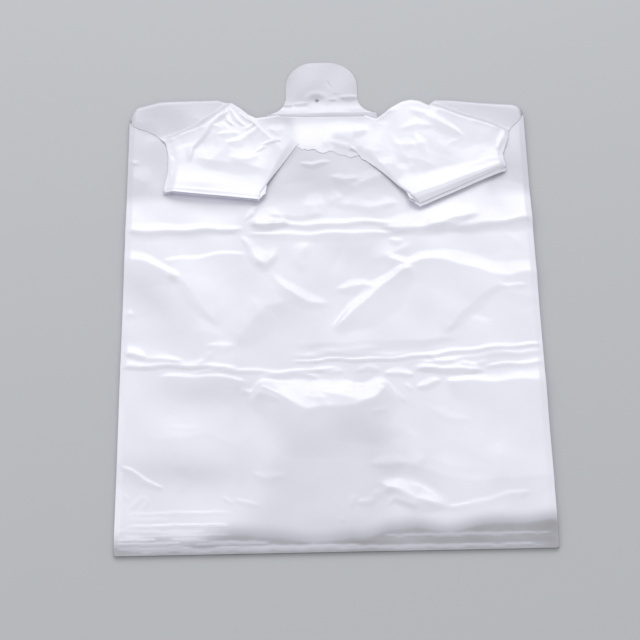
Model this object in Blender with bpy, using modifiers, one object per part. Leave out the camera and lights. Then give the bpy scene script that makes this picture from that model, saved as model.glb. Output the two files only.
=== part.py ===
"""A vest-style plastic carrier bag, lying on its back with its top folded down over its front.

The bag is one piece of film: a flat tube with a gusset down each side, welded along the bottom, die-cut
at the top into two handles, a mouth and a hanging tab, and folded forwards along a line below the tab.
X runs across the bag and Y runs up it. The origin is at the middle of its outline, on the surface it lies on.
"""

import math

import bmesh
import bpy
from mathutils import Matrix, Vector

# Film and its layers
FILM = 0.00045
LAYER_GAP = 0.00045
PITCH = FILM + LAYER_GAP
TOP_LAYER = 3 * PITCH
STACK = TOP_LAYER + FILM

# Tube
BAG_WIDTH = 0.300
GUSSET_DEPTH = 0.078
FOLD_LINE = 0.340
SEAL_HEIGHT = 0.007
SEAL_WIDTH = 0.002

# Handles, which are cut from the tube above the fold line
HANDLE_WIDTH = 0.072
HANDLE_LENGTH = 0.094
HANDLE_SEAL_INSET = 0.004
SHOULDER_RISE = 0.016
SHOULDER_START = 0.048
SHOULDER_RUN = 0.015
SHOULDER_DROP = 0.008
SHOULDER_DROP_RUN = 0.030

# Mouth of the bag, cut in the front layer only
MOUTH_HALF = 0.024
MOUTH_DEPTH = 0.033
MOUTH_ARCH = 0.007

# Hanging tab, on the back layer only
TAB_WIDTH = 0.056
TAB_HEIGHT = 0.047
TAB_CORNER = 0.023
TAB_FLARE = 0.017
NOTCH_FLOOR = 0.002
PIN_HOLE = 0.003
PIN_HOLE_RISE = 0.015

# How each handle is pulled askew as it folds: its end moves inwards and down, and turns by some degrees
LEFT_PULL_IN = 0.0276
LEFT_PULL_DOWN = 0.0027
LEFT_TURN = -10.8
RIGHT_PULL_IN = 0.0152
RIGHT_PULL_DOWN = 0.0007
RIGHT_TURN = 19.6
FLAP_SETTLE = 0.050
BEND_INNER = 0.0007

# Relief of the front, from air and packing creases
PUFF = 0.0022
HEM_RUN = 0.024
SIDE_RUN = 0.022
PUFF_AT_SIDE = 0.35
PUFF_AT_FOLD = 0.40
LAYER_STAGGER = 0.0011
CREASE_LINES = (0.127, 0.237)
CREASE_HEIGHT = 0.0014
CREASE_HALF = 0.0030
RIDGE_HALF = 0.009
# Slack folds of the front: both ends and the height
RIDGES = (
    ((0.055, 0.218), (0.005, 0.173), 0.0013),
    ((-0.070, 0.240), (-0.018, 0.186), 0.0010),
    ((-0.150, 0.226), (-0.080, 0.160), 0.0011),
    ((0.150, 0.196), (0.095, 0.150), 0.0008),
    ((0.065, 0.022), (0.140, 0.042), 0.0008),
)

HALF = BAG_WIDTH / 2
HANDLE_INNER = HALF - HANDLE_WIDTH
TUBE_TOP = FOLD_LINE + HANDLE_LENGTH
TAB_TOP = FOLD_LINE + TAB_HEIGHT
FRONT_STEPS = 24
BACK_STEPS = 7
LEAF_STEPS = 2
MARGIN = 0.010


def clear_scene():
    for item in list(bpy.data.objects):
        bpy.data.objects.remove(item, do_unlink=True)


def new_collection(name):
    found = bpy.data.collections.new(name)
    bpy.context.scene.collection.children.link(found)
    return found


def film_material():
    material = bpy.data.materials.new("white_film")
    material.use_nodes = True
    shader = material.node_tree.nodes["Principled BSDF"]
    shader.inputs["Base Color"].default_value = (0.80, 0.81, 0.84, 1.0)
    shader.inputs["Roughness"].default_value = 0.28
    shader.inputs["Metallic"].default_value = 0.0
    return material


def smooth(share):
    """Eases from 0 to 1 as share goes from 0 to 1."""
    share = min(max(share, 0.0), 1.0)
    return share * share * (3 - 2 * share)


def run_of(start, end, steps):
    """Points from start up to, and without, end."""
    return [start + (end - start) * i / steps for i in range(steps)]


def tube_section():
    """The film's middle line across the bag, as (x, z) points round the loop."""
    turn = PITCH / 2
    inner = HALF - GUSSET_DEPTH

    def layer(start, end, height, steps):
        return [(x, height) for x in run_of(start, end, steps)] + [(end, height)]

    edge = HALF - FILM / math.sqrt(2)
    half_loop = [(edge, turn)]
    half_loop += layer(edge - turn, inner + turn, PITCH, LEAF_STEPS)
    half_loop += [(inner, PITCH + turn)]
    half_loop += layer(inner + turn, edge - turn, 2 * PITCH, LEAF_STEPS)
    half_loop += [(edge, 2 * PITCH + turn)]
    right = half_loop
    left = [(-x, z) for x, z in reversed(half_loop)]
    back = layer(-edge + turn, edge - turn, 0.0, BACK_STEPS)
    front = layer(edge - turn, -edge + turn, TOP_LAYER, FRONT_STEPS)
    return back + right + front + left


def tube_rows():
    """Heights of the rows along the bag, close together where the film bends."""
    rows = [0.0, SEAL_HEIGHT, (SEAL_HEIGHT + HEM_RUN) / 2, HEM_RUN]
    last = rows[-1]
    for crease in CREASE_LINES:
        rows += run_of(last, crease - 2 * CREASE_HALF, 5)[1:]
        rows += [crease + k * CREASE_HALF for k in (-2, -0.8, 0, 0.8, 2)]
        last = rows[-1]
    rows += run_of(last, FOLD_LINE, 6)[1:]
    rows += run_of(FOLD_LINE, FOLD_LINE + bend_length(), 6)
    rows += run_of(FOLD_LINE + bend_length(), TUBE_TOP, 6)
    return rows + [TUBE_TOP]


def bend_radius(height):
    """Radius of the top fold for film at this height: the front is inside and the back is outside."""
    return TOP_LAYER + FILM / 2 + BEND_INNER - height


def bend_length():
    """Film that the top fold takes up, measured halfway through the stack."""
    return math.pi * bend_radius(TOP_LAYER / 2)


def make_tube(collection):
    mesh = bpy.data.meshes.new("carrier_bag")
    shape = bmesh.new()
    rows = tube_rows()
    corners = [shape.verts.new((x, rows[0], z)) for x, z in tube_section()]
    edges = [shape.edges.new((corners[i - 1], corners[i])) for i in range(len(corners))]
    for low, high in zip(rows, rows[1:]):
        made = bmesh.ops.extrude_edge_only(shape, edges=edges)["geom"]
        fresh = [item for item in made if isinstance(item, bmesh.types.BMVert)]
        edges = [item for item in made if isinstance(item, bmesh.types.BMEdge) and item.is_boundary]
        bmesh.ops.translate(shape, verts=fresh, vec=(0, high - low, 0))
    bmesh.ops.recalc_face_normals(shape, faces=shape.faces)
    shape.to_mesh(mesh)
    shape.free()
    tube = bpy.data.objects.new("carrier_bag", mesh)
    collection.objects.link(tube)
    wall = tube.modifiers.new("film", "SOLIDIFY")
    wall.thickness = FILM
    wall.offset = 0.0
    wall.use_even_offset = True
    return tube


def outline_block(name, points, low, high, collection):
    """A closed outline as a block from low to high."""
    curve = bpy.data.curves.new(name, "CURVE")
    curve.dimensions = "2D"
    curve.fill_mode = "BOTH"
    curve.extrude = (high - low) / 2
    spline = curve.splines.new("POLY")
    spline.points.add(len(points) - 1)
    for slot, (x, y) in zip(spline.points, points):
        slot.co = (x, y, 0.0, 1.0)
    spline.use_cyclic_u = True
    drawn = bpy.data.objects.new(name + "_outline", curve)
    drawn.location.z = (low + high) / 2
    collection.objects.link(drawn)
    bpy.context.view_layer.update()
    seen = drawn.evaluated_get(bpy.context.evaluated_depsgraph_get())
    mesh = bpy.data.meshes.new_from_object(seen)
    shape = bmesh.new()
    shape.from_mesh(mesh)
    bmesh.ops.remove_doubles(shape, verts=shape.verts, dist=0.00001)
    bmesh.ops.recalc_face_normals(shape, faces=shape.faces)
    shape.to_mesh(mesh)
    shape.free()
    block = bpy.data.objects.new(name, mesh)
    block.matrix_world = drawn.matrix_world.copy()
    collection.objects.link(block)
    bpy.data.objects.remove(drawn, do_unlink=True)
    block.hide_render = True
    block.display_type = "WIRE"
    return block


def arc(centre, radius, start, end, steps=6):
    """Points of an arc between two angles in degrees."""
    angles = [math.radians(start + (end - start) * i / steps) for i in range(steps + 1)]
    return [(centre[0] + radius * math.cos(a), centre[1] + radius * math.sin(a)) for a in angles]


def mouth_outline():
    """What is cut from the front layer: a low arch that opens out to the ends of both handles."""
    floor = FOLD_LINE + MOUTH_DEPTH
    arch = [
        (-MOUTH_HALF * math.cos(math.pi * i / 8), floor - MOUTH_ARCH * math.sin(math.pi * i / 8))
        for i in range(9)
    ]
    top = TUBE_TOP + MARGIN
    return arch + [(HANDLE_INNER, TUBE_TOP), (HANDLE_INNER, top), (-HANDLE_INNER, top), (-HANDLE_INNER, TUBE_TOP)]


def tab_outline():
    """What is cut from the back and the gussets: all between the handles, apart from the tab."""
    floor = FOLD_LINE - NOTCH_FLOOR
    side = TAB_WIDTH / 2
    right = [(HANDLE_INNER, floor)]
    right += arc((side + TAB_FLARE, floor + TAB_FLARE), TAB_FLARE, 270, 180)
    right += arc((side - TAB_CORNER, TAB_TOP - TAB_CORNER), TAB_CORNER, 0, 90)
    left = [(-x, y) for x, y in reversed(right)]
    top = TUBE_TOP + MARGIN
    return [(-HANDLE_INNER, top), (HANDLE_INNER, top)] + right + left


def pin_outline():
    return arc((0.0, FOLD_LINE + PIN_HOLE_RISE), PIN_HOLE / 2, 0, 330, 11)


def seal_outline(start, end, height):
    """A weld line across the layers, from one x to another."""
    low, high = height - SEAL_WIDTH / 2, height + SEAL_WIDTH / 2
    return [(start, low), (end, low), (end, high), (start, high)]


def cut(body, tool):
    step = body.modifiers.new(tool.name, "BOOLEAN")
    step.operation = "DIFFERENCE"
    step.object = tool


def weld(body, tool):
    step = body.modifiers.new(tool.name, "BOOLEAN")
    step.operation = "UNION"
    step.object = tool


def die_cut(bag, cutters):
    """Cuts the mouth, the tab and the handles."""
    between = 2.5 * PITCH
    below, above = -MARGIN, STACK + MARGIN
    cut(bag, outline_block("mouth_cutter", mouth_outline(), between, above, cutters))
    cut(bag, outline_block("tab_cutter", tab_outline(), below, between, cutters))
    cut(bag, outline_block("pin_cutter", pin_outline(), below, PITCH / 2, cutters))


def weld_seals(bag, cutters):
    """Welds the layers along the bottom and at the end of each handle."""
    reach = HALF - PITCH - FILM
    inset = FILM
    bars = {
        "bottom_seal": (-reach, reach, SEAL_HEIGHT),
        "left_handle_seal": (-reach, -HANDLE_INNER - inset, TUBE_TOP - HANDLE_SEAL_INSET),
        "right_handle_seal": (HANDLE_INNER + inset, reach, TUBE_TOP - HANDLE_SEAL_INSET),
    }
    for name, (start, end, height) in bars.items():
        weld(bag, outline_block(name, seal_outline(start, end, height), 0.0, TOP_LAYER, cutters))


def shoulder(x):
    """How far the fold line lies above its middle, at this x."""
    rise = SHOULDER_RISE * smooth((abs(x) - SHOULDER_START) / SHOULDER_RUN)
    return rise - SHOULDER_DROP * smooth((abs(x) - HALF + SHOULDER_DROP_RUN) / SHOULDER_DROP_RUN)


def is_tab(x, y, z):
    return y > FOLD_LINE and z < PITCH / 2 and abs(x) < HANDLE_INNER - FILM


def folded(x, y, z):
    """Where a point above the fold line goes when the top is folded down over the front."""
    beyond = y - FOLD_LINE
    radius = bend_radius(z)
    angle = min(beyond / bend_length(), 1.0) * math.pi
    straight = max(beyond - bend_length(), 0.0)
    line = FOLD_LINE + shoulder(x)
    flat = Vector((x, line + radius * math.sin(angle) - straight))
    middle = HANDLE_INNER + HANDLE_WIDTH / 2
    end = Vector((math.copysign(middle, x), FOLD_LINE + SHOULDER_RISE - HANDLE_LENGTH + bend_length()))
    if x < 0:
        pull, turn = Vector((LEFT_PULL_IN, -LEFT_PULL_DOWN)), LEFT_TURN
    else:
        pull, turn = Vector((-RIGHT_PULL_IN, -RIGHT_PULL_DOWN)), RIGHT_TURN
    laid = end + pull + Matrix.Rotation(math.radians(turn), 2) @ (flat - end)
    share = smooth(beyond / FLAP_SETTLE) * min(abs(x) / HANDLE_INNER, 1.0)
    place = flat.lerp(laid, share)
    return place.x, place.y, z + radius * (1 - math.cos(angle))


def ridge(x, y, start, end):
    """1 on the line between two points, easing to 0 at RIDGE_HALF from it."""
    along = Vector(end) - Vector(start)
    share = (Vector((x, y)) - Vector(start)).dot(along) / along.length_squared
    nearest = Vector(start) + along * min(max(share, 0.0), 1.0)
    return 1 - smooth((Vector((x, y)) - nearest).length / RIDGE_HALF)


def lift(x, y):
    """Height of the front above a flat stack at (x, y)."""
    from_side = HALF - abs(x)
    height = PUFF * smooth(y / HEM_RUN)
    height *= PUFF_AT_SIDE + (1 - PUFF_AT_SIDE) * smooth(from_side / SIDE_RUN)
    height *= 1 - (1 - PUFF_AT_FOLD) * smooth((y - FOLD_LINE + HEM_RUN) / HEM_RUN)
    for crease in CREASE_LINES:
        height += CREASE_HEIGHT * math.exp(-(((y - crease) / CREASE_HALF) ** 2))
    for start, end, tall in RIDGES:
        height += tall * ridge(x, y, start, end)
    return height


def lie_down(bag):
    """Folds the top down, lets the front rise, and moves the origin to the middle of the outline."""
    for vertex in bag.data.vertices:
        x, y, z = vertex.co
        flat_y = y
        share = min(max((z - FILM / 2) / (TOP_LAYER - FILM), 0.0), 1.0)
        y += LAYER_STAGGER * (max(z, 0.0) / PITCH) * (1 - smooth(y / SEAL_HEIGHT))
        if is_tab(x, flat_y, z):
            vertex.co = (x, y - TAB_TOP / 2, z + FILM / 2)
            continue
        if flat_y > FOLD_LINE:
            x, y, z = folded(x, y, z)
        else:
            y += shoulder(x) * smooth((y - FOLD_LINE + 2 * SHOULDER_RUN) / (2 * SHOULDER_RUN))
        if flat_y > FOLD_LINE:
            share = max(share, smooth((flat_y - FOLD_LINE) / bend_length()))
        vertex.co = (x, y - TAB_TOP / 2, z + share * lift(x, y) + FILM / 2)


def apply_modifiers(item):
    """Turns what the modifiers make into the object's own mesh."""
    bpy.context.view_layer.update()
    seen = item.evaluated_get(bpy.context.evaluated_depsgraph_get())
    mesh = bpy.data.meshes.new_from_object(seen)
    item.modifiers.clear()
    item.data = mesh


def main():
    clear_scene()
    parts = new_collection("plastic_carrier_bag")
    cutters = new_collection("cutters")
    bag = make_tube(parts)
    die_cut(bag, cutters)
    weld_seals(bag, cutters)
    apply_modifiers(bag)
    lie_down(bag)
    bag.data.materials.clear()
    bag.data.materials.append(film_material())
    bag.data.shade_smooth()
    bag.data.set_sharp_from_angle(angle=math.radians(40))


main()
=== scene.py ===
import math

import bpy
import numpy as np
from mathutils import Matrix, Vector
from mathutils.geometry import delaunay_2d_cdt


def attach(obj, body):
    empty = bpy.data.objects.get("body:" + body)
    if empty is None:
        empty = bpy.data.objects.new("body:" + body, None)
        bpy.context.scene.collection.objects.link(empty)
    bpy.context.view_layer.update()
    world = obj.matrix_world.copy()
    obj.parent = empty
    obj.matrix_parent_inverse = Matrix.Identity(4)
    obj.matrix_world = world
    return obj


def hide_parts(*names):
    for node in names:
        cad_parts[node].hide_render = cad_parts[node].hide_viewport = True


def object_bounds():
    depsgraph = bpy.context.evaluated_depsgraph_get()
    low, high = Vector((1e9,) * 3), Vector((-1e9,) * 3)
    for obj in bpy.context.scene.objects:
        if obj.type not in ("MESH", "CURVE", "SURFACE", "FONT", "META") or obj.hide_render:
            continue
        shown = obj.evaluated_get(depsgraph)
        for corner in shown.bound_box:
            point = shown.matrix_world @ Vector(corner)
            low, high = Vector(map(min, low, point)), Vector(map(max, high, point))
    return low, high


# A vest-style film carrier bag on a pale floor. Lengths are in millimetres until a mesh is made.
# X runs across the bag from its centre line and Y runs up it from the hem.
# The flat pattern has p across, on past the side folds over the gusset leaves, and t up from the hem.
# A point's place across once the leaves are folded in is u.

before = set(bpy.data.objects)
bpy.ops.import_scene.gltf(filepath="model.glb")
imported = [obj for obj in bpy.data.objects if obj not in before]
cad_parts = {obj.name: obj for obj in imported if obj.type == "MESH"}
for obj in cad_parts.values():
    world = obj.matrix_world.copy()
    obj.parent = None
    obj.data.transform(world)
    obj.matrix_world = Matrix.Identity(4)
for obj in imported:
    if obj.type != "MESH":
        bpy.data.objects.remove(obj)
CAD_LOW, CAD_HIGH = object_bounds()
MM = 0.001

# Sizes of the bag, the same as in the frame
WIDTH = (CAD_HIGH[0] - CAD_LOW[0]) / MM
LENGTH = (CAD_HIGH[1] - CAD_LOW[1]) / MM
HALF = WIDTH / 2
FOLD_LINE = 340.0
HANDLE_WIDTH = 72.0
HANDLE_LENGTH = 94.0
GUSSET_DEPTH = 78.0
HANDLE_INNER = HALF - HANDLE_WIDTH
TUBE_TOP = FOLD_LINE + HANDLE_LENGTH
TAB_HALF = 27.5
TAB_MIDDLE = -3.5
TAB_CORNER = 22.0
TAB_FLARE = 16.0
PIN_AT = (-7.0, 352.7)
PIN_RADIUS = 1.4
SEAL_HEIGHT = 7.0
HANDLE_SEAL_INSET = 4.0
LEAF_SLOPE = 7.0

# Stack of four layers: back 0, gusset leaves 1 and 2, front 3
PITCH = 0.6
FRONT_LAYER = 3.0
GROUND = 0.15
# The leaves of the front and of the back meet by moving this much of a layer towards each other
LEAF_MEET = 0.5

# Side folds: radius and length of the turn, and where it starts
TURN = PITCH / 2
TURN_LENGTH = math.pi * TURN
SIDE_FOLD = HALF - TURN
# Where the gusset leaves end, and where they end at the top of the handles
INNER_END = SIDE_FOLD + TURN_LENGTH + GUSSET_DEPTH
LEAF_EDGE = SIDE_FOLD + TURN_LENGTH + HALF - TURN - HANDLE_INNER

# Cut edges of both handles in the flat pattern, from the tab up to the handle's end
LEFT_CUT = ((-34.5, 374), (-42, 380), (-49, 386), (-54.3, 392), (-66, 410), (-78, 428), (-78, 434))
RIGHT_CUT = ((34.5, 374), (43.2, 380), (49.4, 386), (54.2, 392), (62.6, 404), (72.8, 422), (78, 434))
# Torn edge of the mouth on the front between them, from right to left
MOUTH_EDGE = (
    (30, 376), (25, 377.5), (19, 375.5), (12, 376), (6, 374), (2, 374.5), (-1, 376.5), (-5, 377.6),
    (-10, 377), (-14, 375), (-18, 375.4), (-22, 376.6), (-26, 376), (-29, 377.2),
)
# Heights where those edges meet the tab's sides, where the tab's rim starts, and where the slits below it end
RIGHT_JOIN = 371.0
LEFT_JOIN = 371.8
RIM_START = 371.5
SLIT_TOP = 372.5


def smooth(share):
    """Eases from 0 to 1 as share goes from 0 to 1."""
    share = np.clip(share, 0.0, 1.0)
    return share * share * (3 - 2 * share)


def ease(value, start, end):
    """Eases from 0 to 1 as value goes from start to end, which may be the smaller one."""
    return smooth((value - start) / (end - start))


def mix(low, high, share):
    """low where share is 0, high where it is 1."""
    return low + (high - low) * share


def bump(away, reach):
    """1 where away is 0, fading to nothing at about twice the reach."""
    return np.exp(-((away / reach) ** 2))


def waves(x, y, rows):
    """Sum of sine waves. A row has a height, the lengths across and up divided by 2 pi, and a start."""
    return sum(tall * np.sin(x / across + y / up + start) for tall, across, up, start in rows)


def follow(place, pairs):
    """Height at a place of the straight stretches through pairs of a place and a height."""
    places, heights = zip(*pairs)
    return np.interp(place, places, heights)


def to_line(x, y, points):
    """Distance to a run of points, the side (1 on its left), and how far along it the nearest place is."""
    points = np.asarray(points, float)
    steps = np.diff(points, axis=0)
    lengths = np.hypot(steps[:, 0], steps[:, 1])
    starts = np.concatenate([[0.0], np.cumsum(lengths)])
    best = np.full(x.shape, 1e9)
    side = np.ones(x.shape)
    along = np.zeros(x.shape)
    for (px, py), (dx, dy), length, start in zip(points, steps, lengths, starts):
        share = np.clip(((x - px) * dx + (y - py) * dy) / length**2, 0.0, 1.0)
        away = np.hypot(x - px - share * dx, y - py - share * dy)
        near = away < best
        best = np.where(near, away, best)
        side = np.where(near, np.sign(dx * (y - py) - dy * (x - px)), side)
        along = np.where(near, (start + share * length) / starts[-1], along)
    return best, side, along


# Slopes of a crease: how wide its crest is rounded, how steeply they fall, their width at its ends and in its
# middle as a share of the length given, and the share of the crease over which they widen
CREST = 0.3
FALL = 1.4
END_WIDTH = 0.45
MIDDLE_WIDTH = 1.05
WIDENING = 0.45
# How uneven the creases run, as rows of waves
UNEVEN_ACROSS = ((0.7, 9.0, 4.1, 0.0), (0.5, -6.3, 9.7, 0.0))
UNEVEN_UP = ((0.5, 4.7, 8.0, 0.0), (0.4, 8.9, -5.1, 0.0))


def crease(x, y, points, height, left, right, ends):
    """Height of a crest along points, with slopes left and right millimetres long that ease out at the foot.

    It fades over the given share of its length at both ends, and is widest in its middle.
    """
    away, side, along = to_line(x, y, points)
    to_end = np.minimum(along, 1 - along)
    reach = np.where(side > 0, left, right) * mix(END_WIDTH, MIDDLE_WIDTH, smooth(to_end / WIDENING))
    rounded = np.sqrt(away**2 + CREST**2) - CREST
    return height * np.clip(1 - rounded / reach, 0.0, 1.0) ** FALL * smooth(to_end / ends)


def relief_of(x, y, creases):
    """Height of a list of creases, with their lines a little uneven as in film."""
    uneven_x = x + waves(x, y, UNEVEN_ACROSS)
    uneven_y = y + waves(x, y, UNEVEN_UP)
    return sum(crease(uneven_x, uneven_y, *row) for row in creases)


# Creases: points from left to right, height, slope lengths above and below, and share that fades at the ends
UPPER_CREASE = (
    (((-190, 241.5), (-110, 241.5), (-60, 242)), 1.1, 6, 3.9, 0.12),
    (((-190, 241), (-60, 242)), 0.95, 26, 7, 0.1),
    (((-50, 245), (-30, 244.6), (0, 245), (38, 245.6), (50, 245)), 0.9, 4.5, 3.6, 0.12),
    (((-62, 237.5), (-20, 237.3), (25, 237.2), (62, 238.5)), 0.6, 2.4, 6.8, 0.1),
    (((36, 245), (46, 241), (58, 239.5), (70, 240), (80, 241.5), (92, 247), (112, 251)), 1.8, 17, 6, 0.15),
    (((84, 239.5), (120, 242), (150, 247.3), (190, 254)), 0.6, 2.2, 3.9, 0.1),
    (((66, 241), (110, 243), (150, 246), (190, 249)), 2.6, 32, 8, 0.1),
    (((-61, 247), (-46, 244.5), (-28, 245)), 1.5, 15, 3, 0.2),
    (((-59, 248), (-52, 244), (-38, 246)), 1.0, 10, 4.5, 0.25),
    (((-63, 249), (-57, 257), (-51, 263)), 0.6, 2, 3, 0.2),
    (((-60, 252), (-54, 257)), 0.4, 1.5, 2.2, 0.3),
)
LOWER_CREASE = (
    (((-28, 150.5), (10, 150), (45, 151.5), (95, 152)), 0.9, 30, 7.5, 0.15),
    (((-34, 141), (0, 141.7), (40, 141), (64, 141.5)), 0.5, 6, 3, 0.2),
    (((-190, 148), (-150, 146.5), (-130, 141.5), (-104, 138)), 0.8, 9, 2.5, 0.1),
    (((-190, 135.3), (-130, 135), (-96, 134.6), (-66, 132)), 1.2, 7, 1.9, 0.08),
    (((-104, 131), (-80, 131.2), (-60, 129.5), (-20, 129.4), (8, 131)), 0.7, 2.4, 1.8, 0.12),
    (((-98, 136), (-90, 139.5), (-82, 147)), 0.5, 5, 4, 0.25),
    (((-92, 149), (-80, 150), (-66, 149)), 0.6, 4, 6, 0.3),
    (((-32, 136.5), (0, 137.3), (30, 137.2), (60, 138.5), (80, 141), (100, 143.2), (125, 144.7), (190, 149)),
     1.0, 2.8, 1.8, 0.06),
    (((50, 134), (80, 135.5), (105, 138), (140, 140.6), (190, 145)), 0.55, 5, 2.6, 0.15),
    (((56, 129.3), (72, 129.8), (84, 128.5), (96, 126.5), (109, 128)), 1.9, 9, 2.8, 0.2),
    (((104, 130), (130, 131.8), (150, 133.5), (190, 138)), 0.8, 3, 2.2, 0.1),
    (((78, 119.5), (110, 119), (150, 119.5), (190, 120)), 1.5, 8, 30, 0.06),
    (((36, 125), (46, 126.5), (57, 125.5)), 0.9, 5, 2.6, 0.15),
    (((58, 116.5), (66, 116.5), (77, 121)), 1.0, 6, 4, 0.2),
    (((50, 120), (57, 113)), 0.5, 1.6, 2, 0.3),
    (((-52, 126.2), (-40, 127.6), (-25, 127.6), (-8, 124)), 0.6, 2.8, 3, 0.15),
    (((-16, 146), (2, 143.5), (22, 144.5), (40, 147)), 0.7, 7, 5, 0.3),
    (((64, 141), (76, 136), (90, 134)), 0.6, 4, 3, 0.3),
    (((-16, 132), (0, 128), (12, 128.5)), 0.6, 4, 2, 0.3),
    (((14, 128.5), (25, 131.5), (36, 127)), 0.6, 4, 3, 0.3),
    (((86, 134), (98, 131.5), (114, 134.5)), 0.7, 5, 3, 0.3),
    (((-150, 143), (-141, 145.5), (-130, 142)), 0.9, 5, 4, 0.3),
)
SLACK_FOLDS = (
    # Between the flaps and the upper crease
    (((-21, 297.5), (-10, 294.5), (2, 297)), 0.8, 2, 3.6, 0.25),
    (((0, 285), (14, 282.5), (26, 284)), 0.5, 4, 6, 0.3),
    (((-46, 254), (-22, 251.5), (-3, 254)), 0.6, 15, 5, 0.2),
    (((4, 262), (30, 258), (54, 261)), 0.6, 12, 6, 0.2),
    (((-152, 299.5), (-141, 300.5)), 0.5, 1.6, 2.4, 0.2),
    # Left side, between the creases
    (((-190, 233), (-150, 220), (-137, 217), (-120, 210.5), (-108, 203)), 1.5, 8, 24, 0.1),
    (((-124, 211), (-108, 201), (-95, 184), (-78, 164)), 1.4, 28, 7, 0.2),
    (((-124, 218.5), (-100, 219.5), (-85, 221.5), (-58, 222.5)), 0.6, 2.2, 16, 0.15),
    (((-190, 178), (-150, 176), (-137, 175)), 0.7, 6, 5, 0.15),
    (((-65, 236), (-57, 223), (-52, 216), (-47, 211)), 0.8, 8, 3.5, 0.15),
    (((-62, 225), (-54, 217), (-47, 212), (-42, 219), (-37, 230)), 1.4, 18, 5, 0.4),
    (((-43, 207), (-38, 200), (-33, 193), (-26, 187), (-18, 183), (-9, 182), (3, 181)), 1.0, 9, 7, 0.3),
    (((-70, 148), (-58, 167), (-46, 180), (-28, 183.5)), 1.1, 30, 16, 0.2),
    # Right side, between the creases
    (((1, 160), (10, 169), (24, 181), (38, 194), (52, 205.5), (62, 209.5)), 2.3, 8.5, 20, 0.12),
    (((2, 191), (14, 195), (25, 195.5), (36, 193)), 0.9, 5, 8, 0.25),
    (((39, 217), (58, 211.5), (66, 214), (84, 213.5), (100, 208.5), (118, 202), (130, 200.5), (190, 212)),
     1.6, 11, 28, 0.07),
    (((121, 192), (132, 193), (143, 192)), 0.5, 2.5, 4.5, 0.2),
    (((78, 155), (92, 170), (106, 184), (128, 196)), 0.9, 28, 8, 0.15),
    (((42, 233), (48, 230), (54, 231)), 0.5, 3, 4.5, 0.3),
    (((-14, 232), (-22, 216), (-20, 205)), 0.5, 8, 10, 0.3),
    # Bright facet under the lower crease
    (((-55, 121), (-45, 114), (-38, 110.5), (-27, 105), (-18, 99.5), (-8, 100.5), (5, 101.5), (18, 102.5),
      (28, 108), (41, 120)), 4.3, 22, 34, 0.08),
    (((-44, 121), (-30, 117), (-14, 113), (2, 112.5), (20, 114), (33, 120)), 1.1, 10, 34, 0.2),
    (((-24, 113), (-12, 108), (-2, 108.5)), 0.5, 5, 12, 0.3),
    (((-60, 117), (-48, 111.5), (-36, 105.5)), 0.6, 2, 4.5, 0.2),
    (((-64, 118), (-56, 113)), 0.6, 2, 4.5, 0.3),
    # Lower left
    (((-125, 127), (-90, 127), (-58, 122)), 0.9, 4, 26, 0.15),
    (((-144, 90), (-116, 80), (-90, 84), (-68, 77), (-46, 87)), 1.4, 24, 36, 0.45),
    (((-116, 91), (-104, 89.7), (-92, 88)), 0.12, 1.5, 4, 0.3),
    (((-151, 64), (-140, 58.5), (-130, 51), (-124, 48), (-117, 44.5)), 0.9, 2, 5, 0.12),
    (((-140, 31), (-135, 37), (-130, 42)), 0.6, 1.8, 2.7, 0.2),
    (((-131, 31), (-128, 36), (-129, 42)), 0.5, 1.6, 2.4, 0.2),
    (((-147, 46), (-139, 37)), 0.5, 2, 3, 0.2),
    (((-152, 53), (-142, 44)), 0.5, 2, 3, 0.2),
    (((-77, 39.8), (-68, 34)), 0.5, 1.6, 2.4, 0.2),
    (((-68, 37), (-60, 34), (-50, 31.5)), 0.5, 1.8, 2.7, 0.2),
    (((-57, 58), (-48, 52), (-40, 51.5), (-32, 53)), 0.6, 5, 6, 0.3),
    # Lower right
    (((44, 112), (49, 100), (53, 90), (60, 76)), -0.5, 9, 6, 0.4),
    (((46, 111), (52, 103)), 0.4, 1.6, 2.4, 0.3),
    (((26, 96), (31, 99), (38, 100.5)), 0.4, 2, 4.5, 0.3),
    (((18, 61), (57, 59), (68, 54.5), (80, 48.5), (105, 47.5), (135, 49), (190, 52)), 1.3, 36, 16, 0.16),
    (((22, 60.5), (38, 59.5), (54, 59.5)), 0.6, 8, 4.5, 0.3),
    (((27, 48), (42, 42.5), (56, 34), (80, 28.5)), 2.9, 13, 9, 0.3),
    (((34, 30), (40, 35), (48, 33), (60, 29)), 1.0, 5, 3, 0.25),
    (((50, 46), (60, 41), (70, 35)), 0.3, 4, 6, 0.35),
    (((22, 37), (34, 41), (41, 46)), 0.6, 4, 6, 0.3),
    (((11.5, 29), (12.5, 40)), 0.5, 2, 3, 0.25),
    (((13, 34.5), (22, 34.5), (29, 36)), 0.6, 3, 4.5, 0.3),
    (((74, 29.5), (90, 29.5), (105, 33), (118, 37), (134, 39.8)), 0.7, 2.6, 8, 0.1),
    (((3, 19.5), (5, 23)), 0.5, 1.6, 2.4, 0.3),
)
# Lines pressed along the hem: height of the line, its two ends, and how tall it is
HEM_LINES = (
    (28.0, -143, -69, 0.55),
    (24.6, -141, -112, 0.3),
    (19.3, -143, -71, 0.9),
    (16.4, -147, -118, 0.5),
    (15.6, -124, -88, 0.35),
    (13.2, -146, -70, 0.4),
    (10.9, -148, -121, 0.9),
    (10.2, -112, -86, 0.5),
    (8.0, -149, -104, 0.6),
    (7.4, -96, -44, 0.4),
    (5.0, -149, -96, 0.5),
    (4.4, -84, 20, 0.4),
    (3.0, -149, 149, 0.3),
    (10.5, 30, 149, 0.25),
)
# How the lines waver, as rows of waves that don't change upwards, and their slopes and fading ends
HEM_WAVER = ((0.25, 5.3, math.inf, 0.0), (0.2, 2.1, math.inf, 0.0))
HEM_SLOPES = (1.4, 1.6, 0.08)

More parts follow.
